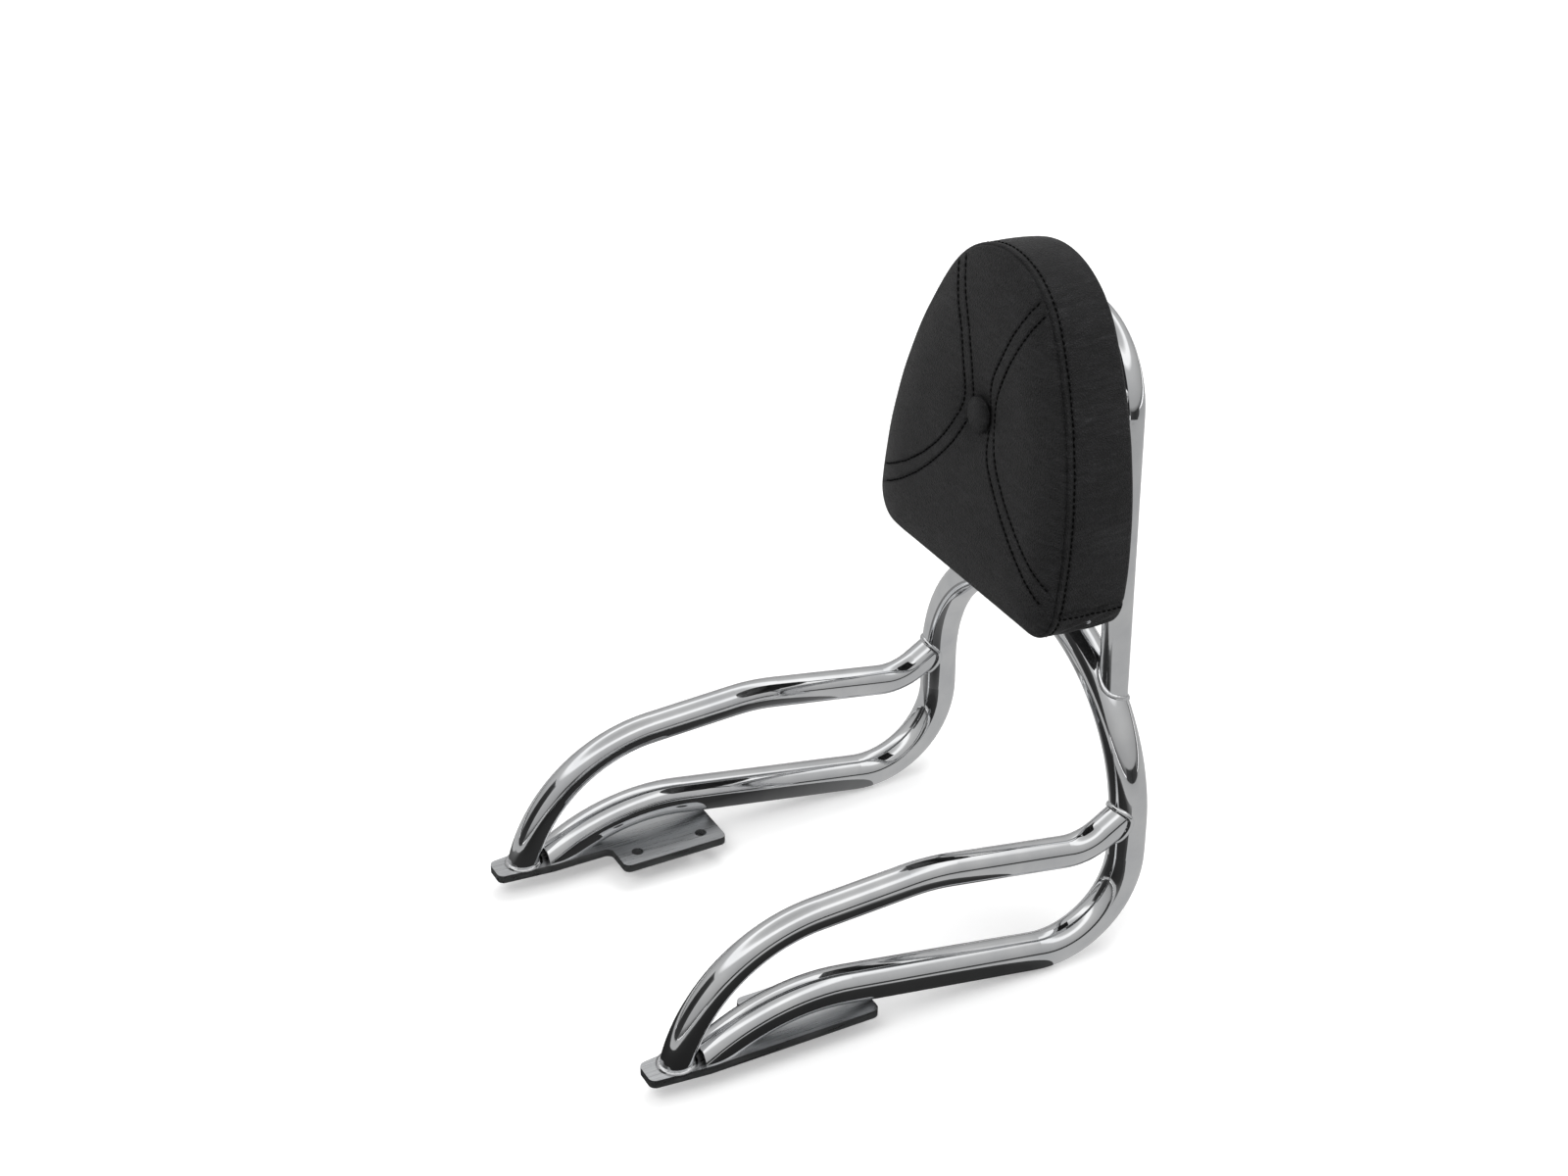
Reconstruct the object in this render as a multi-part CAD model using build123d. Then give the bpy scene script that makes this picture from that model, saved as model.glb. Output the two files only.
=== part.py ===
from build123d import *
import math
import os

os.makedirs("parts", exist_ok=True)

# Frame: millimetres, +X to the rear, +Y to the right, +Z up.
# The origin is the middle of the four mounting holes, on the underside of the feet.

# Main frame tube: one bent tube, foot to foot, over the arch
main_d = 26.0
main_wall = 2.0
side_y = 124.0
main_toe = (-114.0, -15.5)
main_knee = (-30.3, 32.8)
main_heel = (238.0, -14.0)
main_end_x = -86.0
arch_z = 200.0
knee_r = 140.0
heel_r = 61.0
arch_r = 119.0

# Grab tubes: one each side, foot to upright
grab_d = 22.0
grab_wall = 2.0
grab_toe = (-106.8, -15.0)
grab_front = (-82.0, 84.0)
grab_mid = (82.0, 92.0)
grab_rear = (203.0, 71.0)
grab_end = (242.0, 94.4)
grab_front_r = 110.0
grab_mid_r = 150.0
grab_rear_r = 45.0

# Backrest hoop
hoop_d = 20.0
hoop_wall = 2.0
hoop_lean = 4.0
hoop_set_back = 2.0
hoop_foot_y = 94.5
hoop_taper = 0.1127
hoop_rise = 253.8
hoop_r = 59.6

# Feet: a tongue under the tube ends and a lug to the inside
foot_t = 6.0
foot_tip_x = -124.0
foot_taper_x = -84.0
foot_w = 28.0
foot_tip_w = 20.0
lug_half_l = 40.0
lug_inner_y = 84.0
foot_corner_r = 5.0
bolt_x = 25.0
bolt_y = 97.0
bolt_hole_r = 4.25

# Straps that carry the pad
strap_t = 4.0
strap_h = 24.0
strap_lap = 7.0
strap_corner_r = 5.0
upper_strap_v = 28.0
lower_strap_v = -98.0
upper_screw_y = 42.0
lower_screw_y = 58.0

# Pad outline, measured from the button: a top arc, two side arcs, a flat bottom
pad_half_w = 110.5
pad_wide_v = -79.4
pad_side_r = 289.4
pad_top_v = 112.9
pad_bottom_v = -119.2
pad_corner_r = 25.0
pad_up = 181.3
pad_gap = 1.5

# Pad build-up, rear to front
seam_h = 52.2
face_h = 60.2
face_edge_r = 8.0
face_tilt = 2.88
cover_t = 1.8
soft_gap = 0.3
board_t = 10.0
hem_w = 14.0
bottom_seam_v = -95.0
dish_r = 60.0
dish_depth = 7.2

# Button
button_r = 12.5
button_h = 6.0
button_dome_r = 21.5
button_lift = 0.4
shank_r = 2.5
shank_l = 7.0
cord_r = 1.0
anchor_r = 10.0
anchor_t = 1.5
anchor_seat = 0.2

# Pad fasteners
screw_r = 3.0
screw_head_r = 5.5
screw_head_h = 3.3
screw_socket_r = 2.0
screw_socket_h = 1.9
washer_r = 8.0
washer_t = 1.6
nut_flange_r = 9.0
nut_flange_t = 1.2
nut_barrel_r = 4.2
nut_barrel_l = 8.0
thread_fit = 0.05
barrel_fit = 0.05
screw_fit = 0.3
cord_fit = 0.5
pocket_fit = 0.4

# Size of the blocks that trim the pieces, larger than the part
trim = 600.0


def bent(points, radii):
    # Straight runs joined by tangent arcs at the inner points
    pts = [Vector(*p) for p in points]
    edges = []
    start = pts[0]
    for i, r in enumerate(radii):
        corner = pts[i + 1]
        back = (pts[i] - corner).normalized()
        ahead = (pts[i + 2] - corner).normalized()
        half = math.radians(back.get_angle(ahead)) / 2
        cut = r / math.tan(half)
        first = corner + back * cut
        last = corner + ahead * cut
        middle = corner + (back + ahead).normalized() * (r / math.sin(half) - r)
        edges.append(Edge.make_line(start, first))
        edges.append(Edge.make_three_point_arc(first, middle, last))
        start = last
    edges.append(Edge.make_line(start, pts[-1]))
    return Wire(edges)


def rod(path, r):
    return sweep(Plane(path @ 0, z_dir=path % 0) * Circle(r), path=path)


def tube(path, d, wall):
    return rod(path, d / 2) - rod(path, d / 2 - wall)


def on_side(point):
    return (point[0], -side_y, point[1])


def other(solid):
    return mirror(solid, about=Plane.XZ)


# Trims the tubes at the top of the feet
below_feet = Pos(-trim / 2, 0, foot_t - trim / 2) * Box(trim, trim, trim)

# Main frame tube
left_points = [on_side(p) for p in (main_toe, main_knee, main_heel)]
left_points.append((main_heel[0], -side_y, arch_z))
right_points = [(x, -y, z) for x, y, z in reversed(left_points)]
side_radii = [knee_r, heel_r, arch_r]
main_path = bent(left_points + right_points, side_radii + side_radii[::-1])
main_rod = rod(main_path, main_d / 2)
before_end = Pos(main_end_x - trim / 2, 0, 0) * Box(trim, trim, main_d * 4)
main_frame_tube = main_rod - rod(main_path, main_d / 2 - main_wall) - below_feet - before_end

# Grab tubes, each saddled on the upright
grab_run = [grab_toe, grab_front, grab_mid, grab_rear, grab_end]
grab_path = bent([on_side(p) for p in grab_run], [grab_front_r, grab_mid_r, grab_rear_r])
left_grab_tube = tube(grab_path, grab_d, grab_wall) - main_rod - below_feet
right_grab_tube = other(left_grab_tube)

# Hoop, in its own leaning plane: x to the left side, y up the hoop, z to the front
lean = math.radians(hoop_lean)
forward = Vector(-math.cos(lean), 0, math.sin(lean))
upward = Vector(math.sin(lean), 0, math.cos(lean))
foot_off = hoop_foot_y - (side_y - arch_r)
hoop_z = arch_z - arch_r + math.sqrt(arch_r**2 - foot_off**2)
hoop_origin = Vector(main_heel[0] + hoop_set_back, 0, hoop_z)
hoop_plane = Plane(hoop_origin, x_dir=(0, -1, 0), z_dir=forward)


def hoop_point(y, v):
    return tuple(hoop_plane.from_local_coords(Vector(y, v, 0)))


hoop_top_y = hoop_foot_y - hoop_taper * hoop_rise
hoop_path = bent(
    [
        hoop_point(hoop_foot_y, 0),
        hoop_point(hoop_top_y, hoop_rise),
        hoop_point(-hoop_top_y, hoop_rise),
        hoop_point(-hoop_foot_y, 0),
    ],
    [hoop_r, hoop_r],
)
hoop_rod = rod(hoop_path, hoop_d / 2)
backrest_hoop = hoop_rod - rod(hoop_path, hoop_d / 2 - hoop_wall) - main_rod

# Feet, with two holes each for the mounting bolts
outer_y = side_y + foot_w / 2
inner_y = side_y - foot_w / 2
foot_face = make_face(
    Polyline(
        (foot_tip_x, -side_y - foot_tip_w / 2),
        (foot_taper_x, -outer_y),
        (lug_half_l, -outer_y),
        (lug_half_l, -lug_inner_y),
        (-lug_half_l, -lug_inner_y),
        (-lug_half_l, -inner_y),
        (foot_taper_x, -inner_y),
        (foot_tip_x, -side_y + foot_tip_w / 2),
        close=True,
    )
)
foot_ends = [v for v in foot_face.vertices() if abs(v.X - foot_taper_x) > 1]
foot_face = fillet(foot_ends, foot_corner_r)
left_foot_plate = extrude(foot_face, foot_t)
for x in (-bolt_x, bolt_x):
    left_foot_plate -= Pos(x, -bolt_y, foot_t / 2) * Cylinder(bolt_hole_r, foot_t + 2)
right_foot_plate = other(left_foot_plate)

# Pad plane: its back face, from the button's line
pad_plane = Plane(
    hoop_origin + forward * (hoop_d / 2 + pad_gap) + upward * pad_up,
    x_dir=(0, -1, 0),
    z_dir=forward,
)
pad = pad_plane.location

# Straps across the front of the hoop's legs
hole_spots = []
for v, y in ((upper_strap_v, upper_screw_y), (lower_strap_v, lower_screw_y)):
    hole_spots.append((-y, v))
    hole_spots.append((y, v))


def strap(v):
    half = hoop_foot_y - hoop_taper * (pad_up + v) + strap_lap
    face = Pos(0, v) * RectangleRounded(2 * half, strap_h, strap_corner_r)
    plate = extrude(face, -strap_t)
    for x, hole_v in hole_spots:
        if hole_v == v:
            plate -= Pos(x, v, -strap_t / 2) * Cylinder(screw_r + screw_fit, strap_t + 2)
    return pad * plate - hoop_rod


upper_pad_strap = strap(upper_strap_v)
lower_pad_strap = strap(lower_strap_v)

# Pad outline, whole or drawn in by an inset
side_mid = Vector(pad_half_w - pad_side_r, pad_wide_v)
top_rise = pad_top_v - pad_wide_v
pad_top_r = (pad_side_r**2 - side_mid.X**2 - top_rise**2) / (2 * (pad_side_r - top_rise))
top_mid = Vector(0, pad_top_v - pad_top_r)
corner_v = pad_bottom_v + pad_corner_r
corner_reach = pad_side_r - pad_corner_r
corner_mid = Vector(side_mid.X + math.sqrt(corner_reach**2 - (corner_v - pad_wide_v) ** 2), corner_v)


def arc(middle, r, first, last):
    # Arc between two directions as seen from its middle
    a = first.normalized()
    b = last.normalized()
    return ThreePointArc(middle + a * r, middle + (a + b).normalized() * r, middle + b * r)


def flip(v):
    return Vector(-v.X, v.Y)


def inset(distance):
    down = Vector(0, -1)
    to_corner = corner_mid - side_mid
    to_top = top_mid - side_mid
    corner_r = pad_corner_r - distance
    side_r = pad_side_r - distance
    edges = [
        Line(flip(corner_mid) + down * corner_r, corner_mid + down * corner_r),
        arc(corner_mid, corner_r, down, to_corner),
        arc(side_mid, side_r, to_corner, to_top),
        arc(top_mid, pad_top_r - distance, to_top, flip(to_top)),
        arc(flip(side_mid), side_r, flip(to_top), flip(to_corner)),
        arc(flip(corner_mid), corner_r, flip(to_corner), down),
    ]
    return make_face(Curve() + edges)


outline = inset(0)


# The face and its seam lean a little more than the back, so the pad is thickest low down
seam_place = Pos(0, 0, seam_h) * Rot(-face_tilt, 0, 0)
tall_h = 2 * face_h


def above_seam(height):
    return seam_place * (Pos(0, 0, height + trim / 2) * Box(trim, trim, trim))


def below_seam(height):
    return seam_place * (Pos(0, 0, height - trim / 2) * Box(trim, trim, trim))


def pillow(face, height, edge_r):
    block = extrude(face, tall_h) - above_seam(height - seam_h)
    return fillet(block.faces().sort_by(Axis.Z)[-1].edges(), edge_r)


# Dish in the face for the button
dish_mid = face_h - dish_depth + dish_r


def dish(extra):
    return Pos(0, 0, dish_mid) * Sphere(dish_r + extra)


shank_hole = Pos(0, 0, seam_h) * Cylinder(shank_r + cord_fit, 2 * face_h)

# Front cover: the sewn panel and its turned edge, down to the seam
crown_h = face_h - seam_h


def panel(face, height, edge_r):
    block = Pos(0, 0, -tall_h) * extrude(face, tall_h + height)
    return seam_place * fillet(block.faces().sort_by(Axis.Z)[-1].edges(), edge_r)


cover_out = panel(outline, crown_h, face_edge_r) - dish(0)
cover_in = panel(inset(cover_t), crown_h - cover_t, face_edge_r - cover_t) - dish(cover_t)
pad_front_cover = cover_out - below_seam(soft_gap / 2) - cover_in - shank_hole

# Gusset band round the sides, with its hem turned in behind the board
band = extrude(outline, tall_h) - extrude(inset(cover_t), tall_h) - above_seam(-soft_gap / 2)
band = band - Pos(0, 0, soft_gap / 2) * Box(trim, trim, soft_gap)
hem = extrude(inset(cover_t), cover_t) - extrude(inset(hem_w), cover_t)
band = band + Pos(0, 0, soft_gap) * hem

# The band is sewn from a side piece and a bottom piece
above_v = bottom_seam_v + soft_gap / 2
below_v = bottom_seam_v - soft_gap / 2
pad_gusset_cover = band - Pos(0, above_v - trim / 2) * Box(trim, trim, trim)
pad_bottom_cover = band - Pos(0, below_v + trim / 2) * Box(trim, trim, trim)

# Base board, rebated for the hem
board_edge = cover_t + soft_gap
pad_board = extrude(inset(board_edge), board_t)
rebate_t = cover_t + 2 * soft_gap
rebate = extrude(inset(board_edge - 1), rebate_t) - extrude(inset(hem_w + soft_gap), rebate_t)
pad_board = pad_board - rebate
anchor_bore = Pos(0, 0, anchor_t / 2) * Cylinder(anchor_r + anchor_seat, anchor_t + 2 * anchor_seat)
pad_board = pad_board - anchor_bore - Pos(0, 0, board_t / 2) * Cylinder(cord_r + cord_fit, board_t + 2)
for x, v in hole_spots:
    pad_board -= Pos(x, v, board_t / 2) * Cylinder(nut_barrel_r + barrel_fit, board_t + 2)

# Foam between the board and the covers
foam_skin = cover_t + soft_gap
pad_foam = pillow(inset(foam_skin), face_h - foam_skin, face_edge_r - foam_skin) - dish(foam_skin)
pad_foam -= Pos(0, 0, (board_t + soft_gap) / 2) * Box(trim, trim, board_t + soft_gap)
pad_foam -= Pos(0, 0, face_h / 2) * Cylinder(shank_r + cord_fit, face_h)
pocket_h = nut_flange_t + 2 * pocket_fit
for x, v in hole_spots:
    pad_foam -= Pos(x, v, board_t + pocket_h / 2) * Cylinder(nut_flange_r + pocket_fit, pocket_h)

# Button with its shank, cord and anchor disc
button_seat = dish_mid - math.sqrt(dish_r**2 - button_r**2) + button_lift
dome = Pos(0, 0, button_seat + button_h - button_dome_r) * Sphere(button_dome_r)
pad_button = Pos(0, 0, button_seat + button_h / 2) * Cylinder(button_r, button_h) & dome
shank_end = button_seat - shank_l
pad_button += Pos(0, 0, (shank_end + button_seat) / 2) * Cylinder(shank_r, shank_l)
cord_low = anchor_t + anchor_seat + soft_gap
cord_high = shank_end - soft_gap
button_cord = Pos(0, 0, (cord_low + cord_high) / 2) * Cylinder(cord_r, cord_high - cord_low)
button_anchor = Pos(0, 0, anchor_seat + anchor_t / 2) * Cylinder(anchor_r, anchor_t)

# Pad screws, washers and tee nuts
head_face = -strap_t - washer_t
screw_tip = board_t + nut_flange_t / 2
screw_l = screw_tip - head_face
screw = Pos(0, 0, head_face + screw_l / 2) * Cylinder(screw_r - thread_fit, screw_l)
head = Pos(0, 0, head_face - screw_head_h / 2) * Cylinder(screw_head_r, screw_head_h)
head = fillet(head.faces().sort_by(Axis.Z)[0].edges(), screw_head_h * 0.6)
socket = Pos(0, 0, head_face - screw_head_h) * extrude(RegularPolygon(screw_socket_r, 6), screw_socket_h)
screw = screw + head - socket
washer = Cylinder(washer_r, washer_t) - Cylinder(screw_r + screw_fit, washer_t + 2)
washer = Pos(0, 0, -strap_t - washer_t / 2) * washer
nut = Pos(0, 0, board_t + nut_flange_t / 2) * Cylinder(nut_flange_r, nut_flange_t)
nut += Pos(0, 0, board_t - nut_barrel_l / 2) * Cylinder(nut_barrel_r, nut_barrel_l)
nut -= Pos(0, 0, board_t) * Cylinder(screw_r + thread_fit, 2 * board_t)


def four(piece):
    return Compound(children=[pad * (Pos(x, v, 0) * piece) for x, v in hole_spots])


nodes = {
    "main_frame_tube": main_frame_tube,
    "left_grab_tube": left_grab_tube,
    "right_grab_tube": right_grab_tube,
    "backrest_hoop": backrest_hoop,
    "left_foot_plate": left_foot_plate,
    "right_foot_plate": right_foot_plate,
    "upper_pad_strap": upper_pad_strap,
    "lower_pad_strap": lower_pad_strap,
    "pad_board": pad * pad_board,
    "pad_foam": pad * pad_foam,
    "pad_front_cover": pad * pad_front_cover,
    "pad_gusset_cover": pad * pad_gusset_cover,
    "pad_bottom_cover": pad * pad_bottom_cover,
    "pad_button": pad * pad_button,
    "button_cord": pad * button_cord,
    "button_anchor": pad * button_anchor,
    "pad_screws": four(screw),
    "pad_washers": four(washer),
    "pad_tee_nuts": four(nut),
}
for name, solid in nodes.items():
    export_step(solid, f"parts/{name}.step")
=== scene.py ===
import bpy, bmesh, math
import numpy as np
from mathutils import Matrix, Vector, noise
from mathutils.bvhtree import BVHTree


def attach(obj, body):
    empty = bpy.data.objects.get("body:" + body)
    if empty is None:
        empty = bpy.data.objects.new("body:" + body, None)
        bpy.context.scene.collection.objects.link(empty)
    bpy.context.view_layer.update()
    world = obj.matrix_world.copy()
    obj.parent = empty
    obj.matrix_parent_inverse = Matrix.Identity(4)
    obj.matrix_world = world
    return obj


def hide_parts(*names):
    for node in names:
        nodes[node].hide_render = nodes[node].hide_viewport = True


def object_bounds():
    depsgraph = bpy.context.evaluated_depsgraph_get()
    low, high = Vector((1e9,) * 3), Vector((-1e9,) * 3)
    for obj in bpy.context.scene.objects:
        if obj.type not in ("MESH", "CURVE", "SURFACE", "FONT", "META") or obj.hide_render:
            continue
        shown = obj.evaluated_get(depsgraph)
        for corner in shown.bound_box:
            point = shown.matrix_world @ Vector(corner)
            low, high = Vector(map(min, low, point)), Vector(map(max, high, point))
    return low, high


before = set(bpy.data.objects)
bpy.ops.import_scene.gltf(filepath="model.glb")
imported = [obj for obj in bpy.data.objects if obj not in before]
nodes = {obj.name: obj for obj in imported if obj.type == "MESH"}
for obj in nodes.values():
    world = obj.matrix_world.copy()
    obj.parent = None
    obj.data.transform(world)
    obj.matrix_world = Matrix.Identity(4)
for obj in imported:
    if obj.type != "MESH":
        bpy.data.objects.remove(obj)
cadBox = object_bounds()
print("frame loaded:", len(nodes), "nodes")


def startMaterial(name):
    mat = bpy.data.materials.new(name)
    mat.use_nodes = True
    tree = mat.node_tree
    return mat, tree, tree.nodes["Principled BSDF"]


def addNode(tree, kind, **values):  # a value goes to the node's own setting, or else to its socket
    node = tree.nodes.new(kind)
    for key, value in values.items():
        if hasattr(node, key):
            setattr(node, key, value)
        else:
            node.inputs[key].default_value = value
    return node


def addRamp(tree, source, stops):
    ramp = tree.nodes.new("ShaderNodeValToRGB")
    elements = ramp.color_ramp.elements
    while len(elements) < len(stops):
        elements.new(0.5)
    for element, (place, colour) in zip(elements, stops):
        element.position = place
        element.color = (*colour, 1)
    tree.links.new(source, ramp.inputs["Fac"])
    return ramp.outputs["Color"]


def grey(value):
    return (value, value, value)


def objectPlace(tree):
    return addNode(tree, "ShaderNodeTexCoord").outputs["Object"]


def stretched(tree, place, scale):
    spread = addNode(tree, "ShaderNodeMapping")
    spread.inputs["Scale"].default_value = scale
    tree.links.new(place, spread.inputs["Vector"])
    return spread.outputs["Vector"]


def addNoise(tree, place, **values):
    cloud = addNode(tree, "ShaderNodeTexNoise", **values)
    tree.links.new(place, cloud.inputs["Vector"])
    return cloud.outputs


def addBump(tree, shader, height, strength, distance):
    bump = addNode(tree, "ShaderNodeBump", Strength=strength, Distance=distance)
    tree.links.new(height, bump.inputs["Height"])
    tree.links.new(bump.outputs["Normal"], shader.inputs["Normal"])


def weighted(tree, source, share, rest=None):  # the source times its share, plus the rest
    node = addNode(tree, "ShaderNodeMath", operation="MULTIPLY" if rest is None else "MULTIPLY_ADD")
    node.inputs[1].default_value = share
    tree.links.new(source, node.inputs[0])
    if rest is not None:
        tree.links.new(rest, node.inputs[2])
    return node.outputs["Value"]


chromeLook = {"dark": (0.72, 0.73, 0.745), "light": (0.83, 0.835, 0.84), "cloudScale": 38.0,
              "smooth": 0.028, "worn": 0.085, "hazeScale": 420.0}


def makeChrome():
    look = chromeLook
    mat, tree, shader = startMaterial("chromePlate")
    place = objectPlace(tree)
    cloud = addNoise(tree, place, Scale=look["cloudScale"], Detail=5.0)["Fac"]
    haze = addNoise(tree, place, Scale=look["hazeScale"], Detail=3.0)["Fac"]
    tint = addRamp(tree, cloud, [(0.3, look["dark"]), (0.7, look["light"])])
    rough = addRamp(tree, haze, [(0.35, grey(look["smooth"])), (0.8, grey(look["worn"]))])
    tree.links.new(tint, shader.inputs["Base Color"])
    tree.links.new(rough, shader.inputs["Roughness"])
    shader.inputs["Metallic"].default_value = 1.0
    return mat


steelLooks = {  # colours, roughness, and how fine the brushing is along each axis
    "satinFootSteel": {"dark": (0.50, 0.51, 0.52), "light": (0.70, 0.71, 0.72), "low": 0.24, "high": 0.42,
                       "stretch": (30.0, 900.0, 300.0)},
    "zincPlate": {"dark": (0.52, 0.53, 0.55), "light": (0.68, 0.69, 0.71), "low": 0.22, "high": 0.36,
                  "stretch": (350.0, 350.0, 350.0)},
    "weldBead": {"dark": (0.55, 0.56, 0.57), "light": (0.80, 0.80, 0.81), "low": 0.10, "high": 0.24,
                 "stretch": (500.0, 500.0, 500.0)},
}
brushDepth = {"strength": 0.15, "distance": 0.0002}


def makeSteel(name):
    look = steelLooks[name]
    mat, tree, shader = startMaterial(name)
    brush = addNoise(tree, stretched(tree, objectPlace(tree), look["stretch"]), Scale=1.0, Detail=6.0)["Fac"]
    tint = addRamp(tree, brush, [(0.3, look["dark"]), (0.75, look["light"])])
    rough = addRamp(tree, brush, [(0.3, grey(look["low"])), (0.75, grey(look["high"]))])
    addBump(tree, shader, brush, **brushDepth)
    tree.links.new(tint, shader.inputs["Base Color"])
    tree.links.new(rough, shader.inputs["Roughness"])
    shader.inputs["Metallic"].default_value = 1.0
    return mat


leatherLook = {
    # the deep stop is painted shade for the creases and the high stop painted light on the raised grain; the
    # wrinkle and crease weights set how much of that painted shade there is
    "deep": (0.0040, 0.0040, 0.0043), "face": (0.0100, 0.0100, 0.0107), "high": (0.0210, 0.0210, 0.0222),
    "warpScale": 260.0, "warpReach": 0.0020, "grainScale": 640.0, "poreScale": 1700.0, "patchScale": 34.0,
    "wrinkleScale": (70.0, 70.0, 420.0), "wrinkleTwist": 0.4,
    "poreHeight": 0.3, "wrinkleHeight": 2.0, "grainStrength": 0.8, "grainDepth": 0.0008,
    "wrinkleShade": 0.7, "patchTone": 0.4, "creaseShade": 0.2,
    "smooth": 0.40, "dull": 0.50, "gloss": 0.36,
}


def makeLeather():
    look = leatherLook
    mat, tree, shader = startMaterial("blackLeatherette")
    place = objectPlace(tree)
    bend = addNode(tree, "ShaderNodeVectorMath", operation="MULTIPLY_ADD")  # so that no pebble is straight-edged
    bend.inputs[1].default_value = grey(look["warpReach"])
    tree.links.new(addNoise(tree, place, Scale=look["warpScale"], Detail=2.0)["Color"], bend.inputs[0])
    tree.links.new(place, bend.inputs[2])
    bent = bend.outputs["Vector"]
    pebble = addNode(tree, "ShaderNodeTexVoronoi", feature="DISTANCE_TO_EDGE", Scale=look["grainScale"])
    tree.links.new(bent, pebble.inputs["Vector"])
    crease = addRamp(tree, pebble.outputs["Distance"], [(0.0, grey(0.0)), (0.22, grey(0.75)), (0.6, grey(1.0))])
    pore = addNoise(tree, place, Scale=look["poreScale"], Detail=3.0)["Fac"]
    patch = addNoise(tree, place, Scale=look["patchScale"], Detail=4.0)["Fac"]
    wrinkle = addNoise(tree, stretched(tree, bent, look["wrinkleScale"]), Scale=1.0, Detail=4.0,
                       Distortion=look["wrinkleTwist"])["Fac"]  # fine creases that run across
    height = weighted(tree, pore, look["poreHeight"], crease)
    height = weighted(tree, wrinkle, look["wrinkleHeight"], height)
    addBump(tree, shader, height, look["grainStrength"], look["grainDepth"])
    # painted shade: the tint follows the bump, darker in the wrinkle and pebble creases and lighter on the raised
    # grain, with random patches mixed in
    tone = weighted(tree, wrinkle, look["wrinkleShade"])
    tone = weighted(tree, patch, look["patchTone"], tone)
    tone = weighted(tree, crease, look["creaseShade"], tone)
    tint = addRamp(tree, tone, [(0.52, look["deep"]), (0.72, look["face"]), (0.92, look["high"])])
    rough = addRamp(tree, patch, [(0.3, grey(look["smooth"])), (0.75, grey(look["dull"]))])
    tree.links.new(tint, shader.inputs["Base Color"])
    tree.links.new(rough, shader.inputs["Roughness"])
    shader.inputs["Specular IOR Level"].default_value = look["gloss"]
    return mat


threadLook = {"dark": 0.0004, "light": 0.0016, "twistScale": 900.0, "rough": 0.7, "gloss": 0.08}


def makeThread():
    look = threadLook
    mat, tree, shader = startMaterial("blackThread")
    twist = addNode(tree, "ShaderNodeTexWave", Scale=look["twistScale"], Distortion=3.0)
    tree.links.new(objectPlace(tree), twist.inputs["Vector"])
    tint = addRamp(tree, twist.outputs["Fac"], [(0.2, grey(look["dark"])), (0.9, grey(look["light"]))])
    addBump(tree, shader, twist.outputs["Fac"], 0.3, 0.0002)
    tree.links.new(tint, shader.inputs["Base Color"])
    shader.inputs["Roughness"].default_value = look["rough"]
    shader.inputs["Specular IOR Level"].default_value = look["gloss"]
    return mat


plywoodLook = {"dark": (0.045, 0.033, 0.024), "mid": (0.095, 0.068, 0.046), "light": (0.135, 0.10, 0.068),
               "stretch": (60.0, 60.0, 6.0), "dull": 0.62, "smooth": 0.48}


def makePlywood():
    look = plywoodLook
    mat, tree, shader = startMaterial("stainedPlywood")
    grain = addNoise(tree, stretched(tree, objectPlace(tree), look["stretch"]),
                     Scale=3.0, Detail=8.0, Distortion=0.6)["Fac"]
    tint = addRamp(tree, grain, [(0.3, look["dark"]), (0.55, look["mid"]), (0.8, look["light"])])
    rough = addRamp(tree, grain, [(0.3, grey(look["dull"])), (0.8, grey(look["smooth"]))])
    addBump(tree, shader, grain, 0.25, 0.0004)
    tree.links.new(tint, shader.inputs["Base Color"])
    tree.links.new(rough, shader.inputs["Roughness"])
    return mat


softLooks = {"openCellFoam": {"dark": (0.42, 0.38, 0.26), "light": (0.68, 0.63, 0.46), "scale": 900.0},
             "waxedCord": {"dark": grey(0.012), "light": grey(0.04), "scale": 1500.0}}


def makeSoft(name):
    look = softLooks[name]
    mat, tree, shader = startMaterial(name)
    cell = addNode(tree, "ShaderNodeTexVoronoi", Scale=look["scale"])
    tree.links.new(objectPlace(tree), cell.inputs["Vector"])
    tint = addRamp(tree, cell.outputs["Distance"], [(0.1, look["light"]), (0.7, look["dark"])])
    addBump(tree, shader, cell.outputs["Distance"], 0.5, 0.0005)
    tree.links.new(tint, shader.inputs["Base Color"])
    shader.inputs["Roughness"].default_value = 0.9
    return mat


chromePlate = makeChrome()
footSteel = makeSteel("satinFootSteel")
zincPlate = makeSteel("zincPlate")
weldSteel = makeSteel("weldBead")
blackLeatherette = makeLeather()
blackThread = makeThread()
stainedPlywood = makePlywood()
padFoam = makeSoft("openCellFoam")
waxedCord = makeSoft("waxedCord")

nodeLooks = {
    "main_frame_tube": chromePlate, "left_grab_tube": chromePlate, "right_grab_tube": chromePlate,
    "backrest_hoop": chromePlate, "upper_pad_strap": chromePlate, "lower_pad_strap": chromePlate,
    "left_foot_plate": footSteel, "right_foot_plate": footSteel, "pad_board": stainedPlywood,
    "pad_foam": padFoam, "pad_front_cover": blackLeatherette, "pad_gusset_cover": blackLeatherette,
    "pad_bottom_cover": blackLeatherette, "pad_button": blackLeatherette, "button_cord": waxedCord,
    "button_anchor": zincPlate, "pad_screws": zincPlate, "pad_washers": zincPlate, "pad_tee_nuts": zincPlate,
}
for name, mat in nodeLooks.items():
    mesh = nodes[name].data
    mesh.materials.clear()
    mesh.materials.append(mat)
print("materials on", len(nodeLooks), "nodes")


def ringFaces(rings, around, base=0, closed=False):  # quads between rings of points, one ring after the other
    faces = []
    for r in range(rings if closed else rings - 1):
        here, ahead = base + r * around, base + (r + 1) % rings * around
        for k in range(around):
            after = (k + 1) % around
            faces.append((here + k, here + after, ahead + after, ahead + k))
    return faces


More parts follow.
